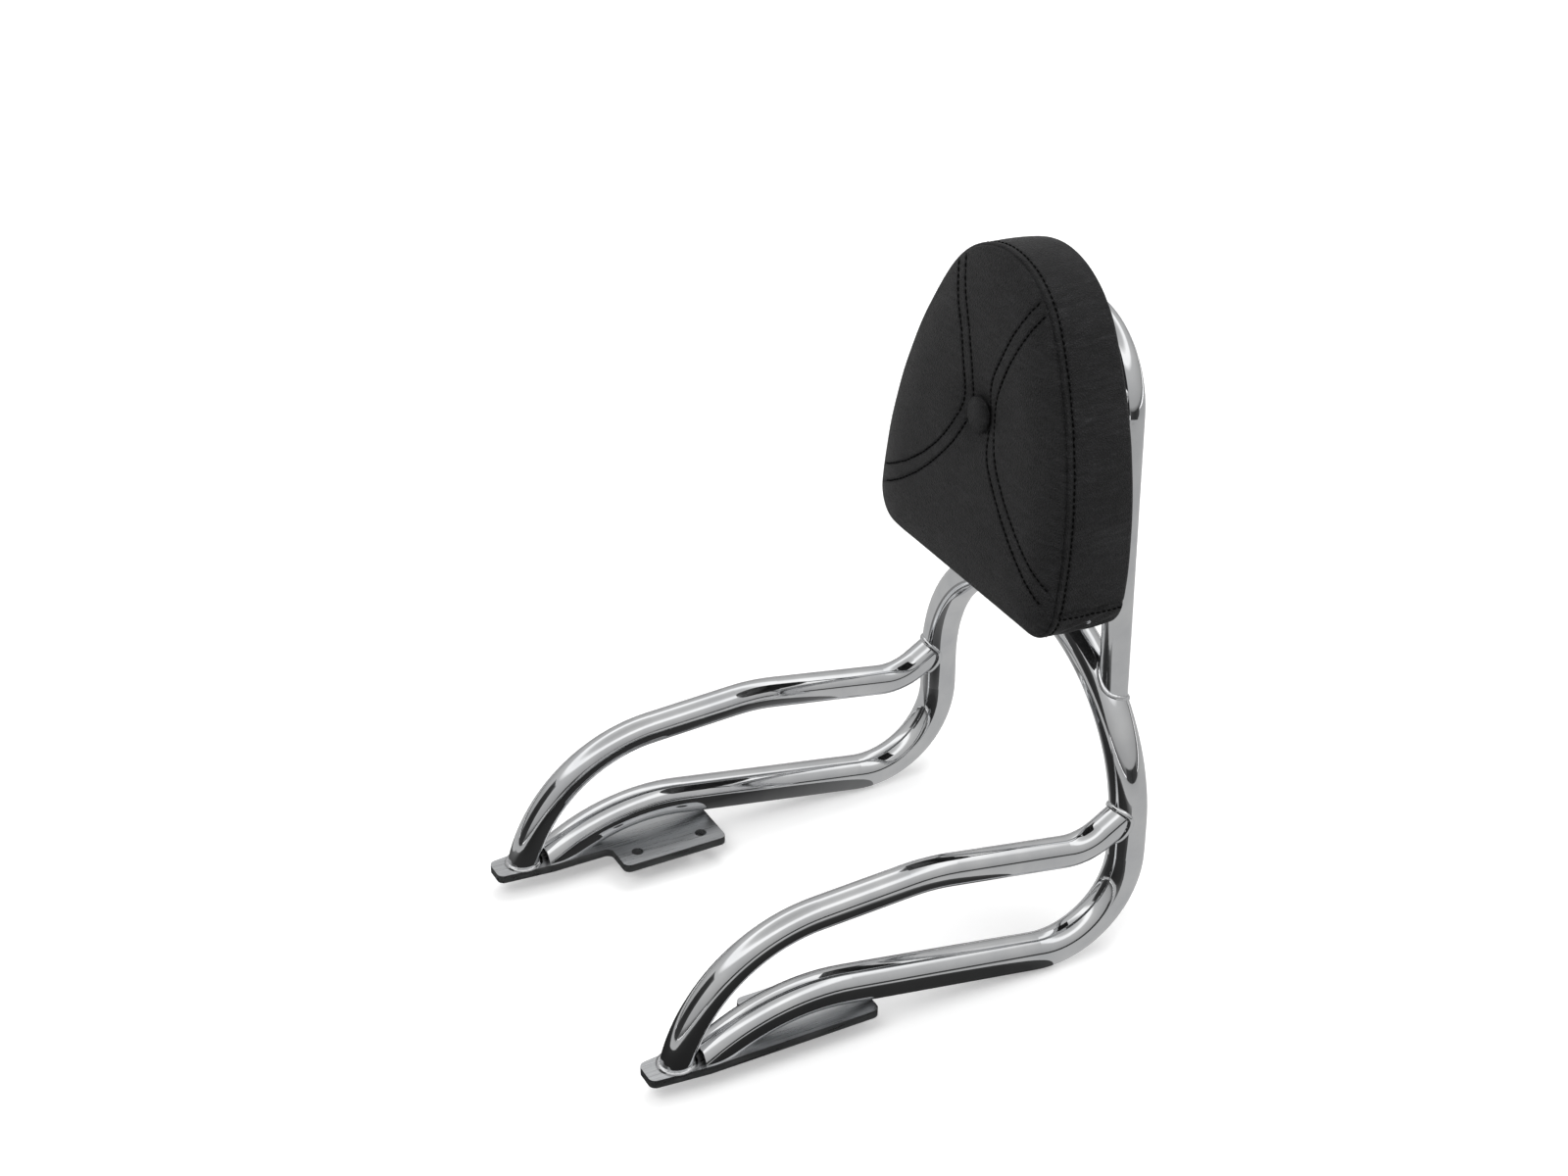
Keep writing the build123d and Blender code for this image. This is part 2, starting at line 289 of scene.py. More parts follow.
def endFaces(rings, around, base=0):  # close the first and the last ring
    last = base + (rings - 1) * around
    return [tuple(base + k for k in reversed(range(around))), tuple(last + k for k in range(around))]


def turn(k, count):
    return 2 * math.pi * k / count


def faceOutward(mesh, mergeGap):
    work = bmesh.new()
    work.from_mesh(mesh)
    if mergeGap:
        bmesh.ops.remove_doubles(work, verts=work.verts, dist=mergeGap)
    bmesh.ops.recalc_face_normals(work, faces=work.faces)
    work.to_mesh(mesh)
    work.free()


def smoothFaces(mesh):
    for polygon in mesh.polygons:
        polygon.use_smooth = True


def newPiece(name, coords, faces, mat, slot, mergeGap=0.0):
    mesh = bpy.data.meshes.new(name)
    mesh.from_pydata([tuple(c) for c in coords], [], faces)
    mesh.validate()
    faceOutward(mesh, mergeGap)
    piece = bpy.data.objects.new(name, mesh)
    bpy.context.scene.collection.objects.link(piece)
    mesh.materials.append(mat)
    smoothFaces(mesh)
    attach(piece, "root")
    return piece


# the pad is drawn in millimetres on its back: across, up, and out of the back
padPlace = {"hoopFoot": (0.240, 0.0, 0.15943), "lean": 4.0, "backOff": 0.0115, "rise": 0.1813}
lean = math.radians(padPlace["lean"])
padForward = Vector((-math.cos(lean), 0, math.sin(lean)))
padUp = Vector((math.sin(lean), 0, math.cos(lean)))
padBack = Vector(padPlace["hoopFoot"]) + padForward * padPlace["backOff"] + padUp * padPlace["rise"]


def padPoint(y, v, h):
    return padBack + Vector((0, y / 1000, 0)) + padUp * (v / 1000) + padForward * (h / 1000)


def padLevel(point):  # how far a point stands out of the back
    return (point - padBack).dot(padForward) * 1000


padForm = {
    "halfWidth": 110.5, "wideV": -79.4, "sideR": 289.4, "topV": 112.9, "bottomV": -119.2, "cornerR": 25.0,
    "seamH": 52.2, "tilt": 2.88, "crown": 6.4, "crownReach": 40.0, "bulge": 1.2, "backRound": 4.0,
    "hemWidth": 13.5, "hemRound": 0.4, "hemOutside": 0.6, "hemInside": 2.3, "boardInset": 1.95, "boardTop": 10.2,
    "stitchBack": 5.6, "bottomSeam": -95.0, "around": 280,
}
padRows = {  # where the mesh has its rows, closer together near the seam
    "boardShares": (0.03, 0.3, 0.6, 0.85), "hem": 4, "turn": 5,
    "band": (0.07, 0.15, 0.23, 0.31, 0.39, 0.47, 0.55, 0.63, 0.70, 0.76, 0.81, 0.85, 0.88, 0.905, 0.93, 0.955,
             0.975, 0.99, 1.0),
    "face": (0.010, 0.022, 0.037, 0.055, 0.077, *np.linspace(0.10, 0.975, 34)),
}


def seamLevel(v):  # the seam leans a little more than the back
    return padForm["seamH"] - math.tan(math.radians(padForm["tilt"])) * v


def outlinePieces(form):  # right half of the outline: bottom run, corner, side and top arcs
    sideX = form["halfWidth"] - form["sideR"]
    rise = form["topV"] - form["wideV"]
    topR = (form["sideR"] ** 2 - sideX ** 2 - rise ** 2) / (2 * (form["sideR"] - rise))
    cornerV = form["bottomV"] + form["cornerR"]
    reach = form["sideR"] - form["cornerR"]
    cornerX = sideX + math.sqrt(reach ** 2 - (cornerV - form["wideV"]) ** 2)
    topV = form["topV"] - topR
    low = math.atan2(cornerV - form["wideV"], cornerX - sideX)
    high = math.atan2(topV - form["wideV"], -sideX)
    return [("run", cornerX), ("arc", cornerX, cornerV, form["cornerR"], -math.pi / 2, low),
            ("arc", sideX, form["wideV"], form["sideR"], low, high), ("arc", 0.0, topV, topR, high, math.pi / 2)]


def traceOutline(form, count):  # points and outward normals, bottom middle first, evenly spaced
    pieces = outlinePieces(form)
    lengths = [p[1] if p[0] == "run" else p[3] * (p[5] - p[4]) for p in pieces]
    half = sum(lengths)
    points = []
    for i in range(count):
        d = 2 * half * i / count
        side = 1
        if d > half:
            d, side = 2 * half - d, -1
        k = 0
        while k < len(pieces) - 1 and d > lengths[k]:
            d -= lengths[k]
            k += 1
        if pieces[k][0] == "run":
            points.append((side * d, form["bottomV"], 0.0, -1.0))
        else:
            _, x, v, r, first, _ = pieces[k]
            a = first + d / r
            points.append((side * (x + r * math.cos(a)), v + r * math.sin(a), side * math.cos(a), math.sin(a)))
    return np.array(points), 2 * half


stripLines = {  # stitched strips on the face, right half: across, up
    "inner": [(50, 103), (46, 97), (38, 84), (28, 66), (20.5, 50), (13.5, 33), (11, 20), (10.8, 5), (13, -9),
              (20, -25), (30, -38), (43, -52), (58, -65.5), (75, -78), (90, -87), (104, -94)],
    "outer": [(58, 97), (52, 88), (44, 75), (36, 60), (28.5, 45), (22, 27), (19, 14), (19.5, 0), (24, -12),
              (33, -27), (46, -42), (61, -55), (77, -66.5), (92, -75), (108, -82)],
}


def smoothLine(points, step):  # even points along a Catmull-Rom line
    pts = [np.array(p, float) for p in points]
    pts = [2 * pts[0] - pts[1]] + pts + [2 * pts[-1] - pts[-2]]
    dense = []
    for a, b, c, d in zip(pts, pts[1:], pts[2:], pts[3:]):
        for t in np.linspace(0, 1, 24, endpoint=False):
            square, cube = 2 * a - 5 * b + 4 * c - d, 3 * b - a - 3 * c + d
            dense.append(0.5 * (2 * b + (c - a) * t + square * t ** 2 + cube * t ** 3))
    dense.append(pts[-2])
    dense = np.array(dense)
    run = np.concatenate([[0], np.cumsum(np.linalg.norm(np.diff(dense, axis=0), axis=1))])
    marks = np.arange(0, run[-1], step)
    return np.stack([np.interp(marks, run, dense[:, i]) for i in (0, 1)], 1)


def lineDistance(y, v, line):
    best = np.full(y.shape, 1e9)
    for a, b in zip(line, line[1:]):
        ab = b - a
        t = np.clip(((y - a[0]) * ab[0] + (v - a[1]) * ab[1]) / (ab @ ab), 0, 1)
        best = np.minimum(best, np.hypot(y - a[0] - t * ab[0], v - a[1] - t * ab[1]))
    return best


edge, perimeter = traceOutline(padForm, padForm["around"])
holdLines = [smoothLine(line, 3.0) for line in stripLines.values()]


def stripDistance(y, v):
    return np.minimum(*(lineDistance(np.abs(y), v, line) for line in holdLines))


def buildPadCover(form):  # rows of points: over the board, round its edge, hem, band, seam and face
    rows, kinds = [], []

    def addRow(kind, level, out=0.0, share=1.0):
        y, v = (edge[:, i] * share + edge[:, i + 2] * out for i in (0, 1))
        rows.append(np.column_stack([y, v, np.broadcast_to(level, len(edge))]))
        kinds.append(kind)

    inset, top, inside = form["boardInset"], form["boardTop"], form["hemInside"]
    hemEnd = form["hemWidth"] - form["hemRound"]
    for share in padRows["boardShares"]:
        addRow("pocket", top, share=share)
    for back, level in ((inset + 4, top), (inset, top), (inset, 6.0), (inset, inside), (8.0, inside),
                        (hemEnd, inside), (form["hemWidth"], 1.4)):
        addRow("pocket", level, -back)
    for back in np.linspace(hemEnd, form["backRound"], padRows["hem"]):
        addRow("hem", form["hemOutside"], -back)
    for a in np.linspace(0, math.pi / 2, padRows["turn"] + 1)[1:]:
        level = form["hemOutside"] + form["backRound"] * (1 - math.cos(a))
        addRow("band", level, -form["backRound"] * (1 - math.sin(a)))
    start = form["hemOutside"] + form["backRound"]
    for t in padRows["band"]:
        level = start + (seamLevel(edge[:, 1]) - start) * t
        addRow("band", level, form["bulge"] * math.sin(math.pi * t) ** 0.8)
    kinds[-1] = "seam"
    for share in padRows["face"]:
        depth = np.hypot(edge[:, 0], edge[:, 1]) * share
        swell = 1 - np.clip(1 - depth / form["crownReach"], 0, 1) ** 2
        addRow("face", seamLevel(edge[:, 1] * (1 - share)) + form["crown"] * swell, share=1 - share)
    return rows, kinds


def groove(distance, depth, width):
    return depth * np.exp(-(distance / width) ** 2)


rows, kinds = buildPadCover(padForm)
rowCount, n = len(rows), padForm["around"]
seamRow = kinds.index("seam")
hemRow = kinds.index("band") - 1
flat = np.concatenate(rows)
dish = {"depth": 6.2, "reach": 20.0, "grip": 11.5}
onFace = np.repeat(kinds, n) == "face"
flat[:, 2] -= np.where(onFace, groove(np.hypot(flat[:, 0], flat[:, 1]), dish["depth"], dish["reach"]), 0)
flat = np.vstack([flat, [0, 0, flat[-n:, 2].mean()], [0, 0, padForm["boardTop"]]])  # the middles, front and back
rowOf = np.append(np.repeat(np.arange(rowCount), n), [rowCount, -1]).astype(float)
faces = ringFaces(rowCount, n)
faces += [((rowCount - 1) * n + i, (rowCount - 1) * n + (i + 1) % n, len(flat) - 2) for i in range(n)]
faces += [((i + 1) % n, i, len(flat) - 1) for i in range(n)]
padCover = newPiece("padCover", [padPoint(*p) for p in flat], faces, blackLeatherette, "leatherette")

# inflate the cover between its seams
inflate = {"pressure": 3.4, "frames": 20, "cap": 0.005, "share": 0.6, "holdLine": 1.6,
           "quality": 6, "mass": 0.4, "tension": 22, "shear": 9, "bending": 1.6}
hold = padCover.vertex_groups.new(name="hold")
sewn = stripDistance(flat[:, 0], flat[:, 1]) < inflate["holdLine"]
buttoned = np.hypot(flat[:, 0], flat[:, 1]) < dish["grip"]
held = (rowOf <= hemRow) | (rowOf == seamRow) | ((rowOf > seamRow) & (sewn | buttoned))
hold.add([int(i) for i in np.where(held)[0]], 1.0, "ADD")
cloth = padCover.modifiers.new("inflate", "CLOTH")
cloth.settings.quality = inflate["quality"]
cloth.settings.mass = inflate["mass"]
cloth.settings.tension_stiffness = cloth.settings.compression_stiffness = inflate["tension"]
cloth.settings.shear_stiffness = inflate["shear"]
cloth.settings.bending_stiffness = inflate["bending"]
cloth.settings.use_pressure = True
cloth.settings.uniform_pressure_force = inflate["pressure"]
cloth.settings.vertex_group_mass = "hold"
cloth.settings.effector_weights.gravity = 0
cloth.collision_settings.use_collision = False
for step in range(1, inflate["frames"] + 1):
    bpy.context.scene.frame_set(step)
ready = padCover.evaluated_get(bpy.context.evaluated_depsgraph_get())
before = np.array([v.co for v in padCover.data.vertices])
after = np.array([v.co for v in ready.to_mesh().vertices])
ready.to_mesh_clear()
padCover.modifiers.remove(cloth)
bpy.context.scene.frame_set(1)
move = (after - before) * inflate["share"]
size = np.linalg.norm(move, axis=1)
print(f"cover moved up to {size.max() * 1000:.2f} mm, mean {size.mean() * 1000:.2f}")
move *= np.minimum(1, inflate["cap"] / np.maximum(size, 1e-9))[:, None]
padCover.data.vertices.foreach_set("co", (before + move).ravel())

# one subdivision, with the flat pattern carried along
flatPattern = {"row": rowOf, "across": flat[:, 0], "up": flat[:, 1], "out": flat[:, 2]}
for name, values in flatPattern.items():
    padCover.data.attributes.new(name, "FLOAT", "POINT").data.foreach_set("value", values.astype(np.float32))
fine = padCover.modifiers.new("fine", "SUBSURF")
fine.levels = fine.render_levels = 1
fineMesh = bpy.data.meshes.new_from_object(padCover.evaluated_get(bpy.context.evaluated_depsgraph_get()))
padCover.modifiers.remove(fine)
padCover.data = fineMesh
fineMesh.name = "padCover"


def takePattern(name):
    values = np.zeros(len(fineMesh.vertices), np.float32)
    fineMesh.attributes[name].data.foreach_get("value", values)
    fineMesh.attributes.remove(fineMesh.attributes[name])
    return values.astype(float)


row, across, up, outward = (takePattern(name) for name in flatPattern)
print("pad cover shaped:", len(fineMesh.polygons), "faces")

# seams, stitch lines and folds pressed into the cover, in millimetres
press = {
    "stripDepth": 0.85, "stripWidth": 0.95, "seamDepth": 2.3, "seamWidth": 1.0,
    "weltRise": 0.45, "weltBack": 2.8, "weltWidth": 1.6, "bandDepth": 0.6, "bandWidth": 1.0,
    "bottomDepth": 1.6, "bottomWidth": 1.1,
    "foldDepth": 1.3, "foldPitch": 7.5, "foldPlace": (103.0, -108.0), "foldReach": 16.0,
    "foldFront": 9.0, "foldBack": 3.0, "foldFade": 8.0, "foldSlope": (0.35, 0.2),
    "waver": 0.22, "waverSize": 24.0,
}
fineMesh.update()
skin = row > hemRow + 0.5
face = row > seamRow
band = skin & ~face
fromSeam = seamLevel(up) - outward  # down the band
edgeLine = np.vstack([edge[:, :2], edge[:1, :2]])
fromEdge = np.where(face, lineDistance(across, up, edgeLine), np.abs(fromSeam))
sunk = np.where(face, groove(stripDistance(across, up), press["stripDepth"], press["stripWidth"]), 0)
sunk += np.where(skin, groove(fromEdge, press["seamDepth"], press["seamWidth"]), 0)
sunk -= np.where(band, groove(fromSeam - press["weltBack"], press["weltRise"], press["weltWidth"]), 0)
sunk += np.where(band, groove(fromSeam - padForm["stitchBack"], press["bandDepth"], press["bandWidth"]), 0)
sunk += np.where(band, groove(up - padForm["bottomSeam"], press["bottomDepth"], press["bottomWidth"]), 0)
fromFold = np.hypot(np.abs(across) - press["foldPlace"][0], up - press["foldPlace"][1])
foldWeight = np.where(band, groove(fromFold, press["foldDepth"], press["foldReach"]), 0)
foldWeight *= np.clip((fromSeam - press["foldFront"]) / press["foldFade"], 0, 1)
foldWeight *= np.clip((outward - press["foldBack"]) / press["foldFade"], 0, 1)
foldRun = up + press["foldSlope"][0] * outward + press["foldSlope"][1] * across
sunk += foldWeight * (0.5 + 0.5 * np.sin(2 * np.pi * foldRun / press["foldPitch"]))
wave = np.array([noise.noise(Vector(p) / press["waverSize"]) for p in zip(across, up, outward)])
sunk += np.where(skin, press["waver"] * wave, 0)
co = np.array([v.co for v in fineMesh.vertices])
normals = np.array([v.normal for v in fineMesh.vertices])
co -= normals * (sunk / 1000)[:, None]
fineMesh.vertices.foreach_set("co", co.ravel())
fineMesh.update()
smoothFaces(fineMesh)
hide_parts("pad_front_cover", "pad_gusset_cover", "pad_bottom_cover", "pad_foam")
coverTree = BVHTree.FromPolygons([tuple(c) for c in co], [p.vertices[:] for p in fineMesh.polygons])
print("seams pressed")


def onCover(start, direction):
    point, normal, _, _ = coverTree.ray_cast(Vector(start), Vector(direction), 0.2)
    return point, normal


# stitches: short threads along each stitch line
stitch = {"pitch": 4.3, "length": 3.1, "thick": 0.52, "sides": 8, "lift": 0.38, "clearButton": 13.2,
          "flattest": 0.45, "besideBottom": -3.0, "bottomFrom": 5.0, "bottomTo": 8.0,
          "profile": ((-1.0, 0.25, -0.9), (-0.8, 0.8, -0.2), (-0.3, 1.0, 0.25),
                      (0.3, 1.0, 0.25), (0.8, 0.8, -0.2), (1.0, 0.25, -0.9))}  # along, width, height


def stitchMesh(places):
    coords, faces = [], []
    half, r, sides = stitch["length"] / 2000, stitch["thick"] / 1000, stitch["sides"]
    rings = len(stitch["profile"])
    for point, normal, along in places:
        along = (along - normal * along.dot(normal)).normalized()
        beside = along.cross(normal)
        faces += ringFaces(rings, sides, len(coords)) + endFaces(rings, sides, len(coords))
        for t, wide, high in stitch["profile"]:
            centre = point + along * (half * t) + normal * (r * high + stitch["lift"] / 1000)
            for k in range(sides):
                a = turn(k, sides)
                coords.append(centre + (beside * math.cos(a) + normal * math.sin(a)) * (r * wide))
    return coords, faces


def stripStitches():
    places = []
    for line in stripLines.values():
        marks = smoothLine(line, stitch["pitch"])
        for side in (1, -1):
            for back, (y, v), ahead in zip(marks, marks[1:], marks[2:]):
                if math.hypot(y, v) < stitch["clearButton"]:
                    continue
                point, normal = onCover(padPoint(side * y, v, 90), -padForward)
                if point is None or padLevel(point) < seamLevel(v) - 0.5:
                    continue
                if normal.dot(padForward) < stitch["flattest"]:
                    continue
                direction = padPoint(side * ahead[0], ahead[1], 0) - padPoint(side * back[0], back[1], 0)
                places.append((point, normal, direction.normalized()))
    return places


def bandStitches():
    places = []
    count = int(perimeter / stitch["pitch"])
    ring, _ = traceOutline(padForm, count)
    for i in range(count):
        y, v, ny, nv = ring[i]
        away = (padPoint(ny, nv, 0) - padPoint(0, 0, 0)).normalized()
        h = seamLevel(v) - padForm["stitchBack"]
        point, normal = onCover(padPoint(y, v, h) + away * 0.04, -away)
        if point is None:
            continue
        nextY, nextV = ring[(i + 1) % count][:2]
        places.append((point, normal, (padPoint(nextY, nextV, h) - padPoint(y, v, h)).normalized()))
    return places


def bottomStitches():  # beside the seam where the side and bottom pieces of the band meet
    places = []
    v = padForm["bottomSeam"] + stitch["besideBottom"]
    last = seamLevel(padForm["bottomSeam"]) - stitch["bottomTo"]
    for side in (1, -1):
        for h in np.arange(stitch["bottomFrom"], last, stitch["pitch"]):
            point, normal = onCover(padPoint(side * 150, v, h), Vector((0, -side, 0)))
            if point is not None:
                places.append((point, normal, padForward))
    return places


for sew in (stripStitches, bandStitches, bottomStitches):
    newPiece(sew.__name__, *stitchMesh(sew()), blackThread, "cord")
print("stitches sewn")

# covered button in the dish
button = {"radius": 12.6, "height": 6.4, "rim": 2.2, "around": 64, "lift": 0.8, "folds": 14, "foldDepth": 0.012,
          "rimSteps": 8, "domeSteps": 14, "fullness": 0.8, "mergeGap": 1e-5}


def buttonProfile():  # radius, height and how smooth: the gathered under edge, then the dome
    radius, rim = button["radius"], button["rim"]
    profile = []
    for i in range(button["rimSteps"] + 1):
        a = -math.pi / 2 + math.pi / 2 * i / button["rimSteps"]
        profile.append((radius - rim + rim * math.cos(a), rim + rim * math.sin(a), i / button["rimSteps"]))
    for i in range(1, button["domeSteps"] + 1):
        a = math.pi / 2 * i / button["domeSteps"]
        high = rim + (button["height"] - rim) * math.sin(a)
        profile.append((radius * math.cos(a) ** button["fullness"], high, 1.0))
    return profile


def buildButton():
    rest, _ = onCover(padPoint(0, 0, 120), -padForward)
    level = padLevel(rest) + button["lift"]
    profile = buttonProfile()
    coords = []
    for r, h, smooth in profile:
        for k in range(button["around"]):
            a = turn(k, button["around"])
            out = r * (1 + button["foldDepth"] * math.sin(a * button["folds"]) * (1 - smooth))
            coords.append(padPoint(out * math.cos(a), out * math.sin(a), level + h))
    return coords, ringFaces(len(profile), button["around"]) + endFaces(len(profile), button["around"])[:1]


padButton = newPiece("padButton", *buildButton(), blackLeatherette, "leatherette", button["mergeGap"])
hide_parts("pad_button")
print("button set")

# weld beads where the tubes land
weld = {"thick": 2.3, "hoopThick": 1.7, "around": 14, "ripple": 0.03, "pitch": 2.6, "flat": 0.75,
        "steps": 150, "footSteps": 120, "start": 0.08, "clear": 0.0004}
hoopLeg = {"side": 0.0945, "taper": 0.1127, "radius": 0.010}
grabEnd = {"side": 0.124, "radius": 0.011, "rear": (0.242, 0.0944), "rearAxis": (-39.0, 0, -23.4),
           "foot": (-0.1014, 0.006), "footAxis": (24.8, 0, 99.0)}


def treeOf(name):
    mesh = nodes[name].data
    return BVHTree.FromPolygons([v.co for v in mesh.vertices], [p.vertices[:] for p in mesh.polygons])


def saddleRing(tree, foot, axis, radius, count):  # where a round tube lands on the surface below it
    axis = Vector(axis).normalized()
    side = axis.orthogonal().normalized()
    other = axis.cross(side)
    ring = []
    for k in range(count):
        a = turn(k, count)
        out = side * math.cos(a) + other * math.sin(a)
        start = Vector(foot) + axis * weld["start"] + out * (radius + weld["clear"])
        point, normal, _, _ = tree.ray_cast(start, -axis, 0.2)
        if point is not None:
            ring.append((point, (out * 0.6 + normal * 0.8).normalized()))
    return ring


def beadMesh(ring, thick):
    coords = []
    run = 0.0
    for k, (here, out) in enumerate(ring):
        ahead = (ring[(k + 1) % len(ring)][0] - ring[k - 1][0]).normalized()
        run += (here - ring[k - 1][0]).length * 1000 if k else 0
        r = (thick + weld["ripple"] * math.sin(2 * math.pi * run / weld["pitch"])) / 1000
        beside = ahead.cross(out).normalized()
        for j in range(weld["around"]):
            a = turn(j, weld["around"])
            coords.append(here + (beside * math.cos(a) + out * math.sin(a) * weld["flat"]) * r)
    return coords, ringFaces(len(ring), weld["around"], closed=True)


def grabPlace(end, side):
    x, z = grabEnd[end]
    return (x, side * grabEnd["side"], z)


sides = ((-1, "Left"), (1, "Right"))
frameTree = treeOf("main_frame_tube")
for side, label in sides:
    legFoot = Vector(padPlace["hoopFoot"]) + Vector((0, side * hoopLeg["side"], 0))
    legAxis = padUp + Vector((0, -side * hoopLeg["taper"], 0))
    ring = saddleRing(frameTree, legFoot, legAxis, hoopLeg["radius"], weld["steps"])
    newPiece("hoopWeld" + label, *beadMesh(ring, weld["hoopThick"]), chromePlate, "chrome")
    ring = saddleRing(frameTree, grabPlace("rear", side), grabEnd["rearAxis"], grabEnd["radius"], weld["steps"])
    newPiece("grabWeld" + label, *beadMesh(ring, weld["thick"]), chromePlate, "chrome")
    footTree = treeOf(label.lower() + "_foot_plate")
    ring = saddleRing(footTree, grabPlace("foot", side), grabEnd["footAxis"], grabEnd["radius"],
                      weld["footSteps"])
    newPiece("grabFootWeld" + label, *beadMesh(ring, weld["thick"]), weldSteel, "foot_steel")
print("welds laid")

# studs that finish the folds at the bottom corners
stud = {"across": 107.5, "up": -105.3, "out": 27.0, "radius": 1.7, "height": 1.1, "around": 20, "from": (40, -18),
        "profile": ((0.9, -0.6), (1.0, -0.1), (1.0, 0.2),
                    (0.86, 0.6), (0.55, 0.88), (0.2, 1.0))}  # radius, height


def buildStud(side):
    start = padPoint(side * (stud["across"] + stud["from"][0]), stud["up"] + stud["from"][1], stud["out"])
    point, normal = onCover(start, padPoint(side * stud["across"], stud["up"], stud["out"]) - start)
    east = normal.orthogonal().normalized()
    north = normal.cross(east)
    coords = []
    for wide, high in stud["profile"]:
        r, h = wide * stud["radius"] / 1000, high * stud["height"] / 1000
        for k in range(stud["around"]):
            a = turn(k, stud["around"])
            coords.append(point + (east * math.cos(a) + north * math.sin(a)) * r + normal * h)
    rings = len(stud["profile"])
    return coords, ringFaces(rings, stud["around"]) + endFaces(rings, stud["around"])


for side, label in sides:
    newPiece("cornerStud" + label, *buildStud(side), zincPlate, "zinc")
print("corner studs set")

# staples that hold the hem to the board
staple = {"pitch": 22.0, "crown": 10.0, "wire": 0.45, "inset": 9.0, "leg": 1.2, "shoulder": 0.35, "bend": 0.5,
          "proud": 0.25}


def buildStaples():
    coords, faces = [], []
    w, half, bend = staple["wire"], staple["crown"] / 2, staple["bend"]
    path = [(-half, staple["leg"]), (-half, staple["shoulder"]), (bend - half, 0.0),
            (half - bend, 0.0), (half, staple["shoulder"]), (half, staple["leg"])]
    section = ((-w, -w), (w, -w), (w, w), (-w, w))
    ring, _ = traceOutline(padForm, int(perimeter / staple["pitch"]))
    for y, v, ny, nv in ring:
        middleY, middleV = y - ny * staple["inset"], v - nv * staple["inset"]
        point, _ = onCover(padPoint(middleY, middleV, -30), padForward)
        level = padLevel(point) - staple["proud"]
        faces += ringFaces(len(path), 4, len(coords)) + endFaces(len(path), 4, len(coords))
        for t, h in path:
            for a, b in section:
                coords.append(padPoint(middleY - nv * t + ny * a, middleV + ny * t + nv * a, level + h + b))
    return coords, faces


newPiece("hemStaples", *buildStaples(), zincPlate, "zinc")
print("hem stapled")

# pale floor and backdrop
stageForm = {"floorZ": cadBox[0][2] - 0.0002, "floorSize": 30.0, "floorColour": (0.86, 0.86, 0.86), "rough": 0.7,
             "gloss": 0.1, "nearLift": 0.28, "farLift": 1.0, "near": 0.7, "far": 3.0,
             "skyStops": ((0.0, grey(0.55)), (0.35, grey(0.72)), (1.0, grey(0.95))), "skyStrength": 0.62}


def seenRays(tree):  # 1 for what the camera and polished metal see, 0 for the light that falls on the part
    path = addNode(tree, "ShaderNodeLightPath")
    seen = addNode(tree, "ShaderNodeMath", operation="MAXIMUM")
    tree.links.new(path.outputs["Is Camera Ray"], seen.inputs[0])
    tree.links.new(path.outputs["Is Glossy Ray"], seen.inputs[1])
    return seen.outputs["Value"]


def fromMiddle(tree):
    away = addNode(tree, "ShaderNodeVectorMath", operation="LENGTH")
    tree.links.new(objectPlace(tree), away.inputs[0])
    return away.outputs["Value"]


def makeFloor():
    bpy.ops.mesh.primitive_plane_add(size=stageForm["floorSize"], location=(0, 0, stageForm["floorZ"]))
    floor = bpy.context.object
    floor.name = "studioFloor"
    mat, tree, shader = startMaterial("paleFloor")
    shader.inputs["Base Color"].default_value = (*stageForm["floorColour"], 1)
    shader.inputs["Roughness"].default_value = stageForm["rough"]
    shader.inputs["Specular IOR Level"].default_value = stageForm["gloss"]
    lift = addNode(tree, "ShaderNodeMapRange")  # brighter away from the part, where the lamps fall off
    ends = {"From Min": "near", "From Max": "far", "To Min": "nearLift", "To Max": "farLift"}
    for socket, key in ends.items():
        lift.inputs[socket].default_value = stageForm[key]
    tree.links.new(fromMiddle(tree), lift.inputs["Value"])
    strength = addNode(tree, "ShaderNodeMath", operation="MULTIPLY")
    tree.links.new(seenRays(tree), strength.inputs[0])
    tree.links.new(lift.outputs["Result"], strength.inputs[1])
    glow = addNode(tree, "ShaderNodeEmission")
    tree.links.new(strength.outputs["Value"], glow.inputs["Strength"])
    both = addNode(tree, "ShaderNodeAddShader")
    tree.links.new(shader.outputs["BSDF"], both.inputs[0])
    tree.links.new(glow.outputs["Emission"], both.inputs[1])
    tree.links.new(both.outputs["Shader"], tree.nodes["Material Output"].inputs["Surface"])
    floor.data.materials.append(mat)


def makeWorld():
    world = bpy.data.worlds.new("studioWorld")
    world.use_nodes = True
    tree = world.node_tree
    sky = tree.nodes["Background"]
    split = addNode(tree, "ShaderNodeSeparateXYZ")
    tree.links.new(addNode(tree, "ShaderNodeTexCoord").outputs["Generated"], split.inputs["Vector"])
    tree.links.new(addRamp(tree, split.outputs["Z"], stageForm["skyStops"]), sky.inputs["Color"])
    sky.inputs["Strength"].default_value = stageForm["skyStrength"]
    white = addNode(tree, "ShaderNodeBackground", Color=(1, 1, 1, 1), Strength=1.0)
    choose = addNode(tree, "ShaderNodeMixShader")
    tree.links.new(seenRays(tree), choose.inputs[0])
    tree.links.new(sky.outputs["Background"], choose.inputs[1])
    tree.links.new(white.outputs["Background"], choose.inputs[2])
    tree.links.new(choose.outputs["Shader"], tree.nodes["World Output"].inputs["Surface"])
    bpy.context.scene.world = world


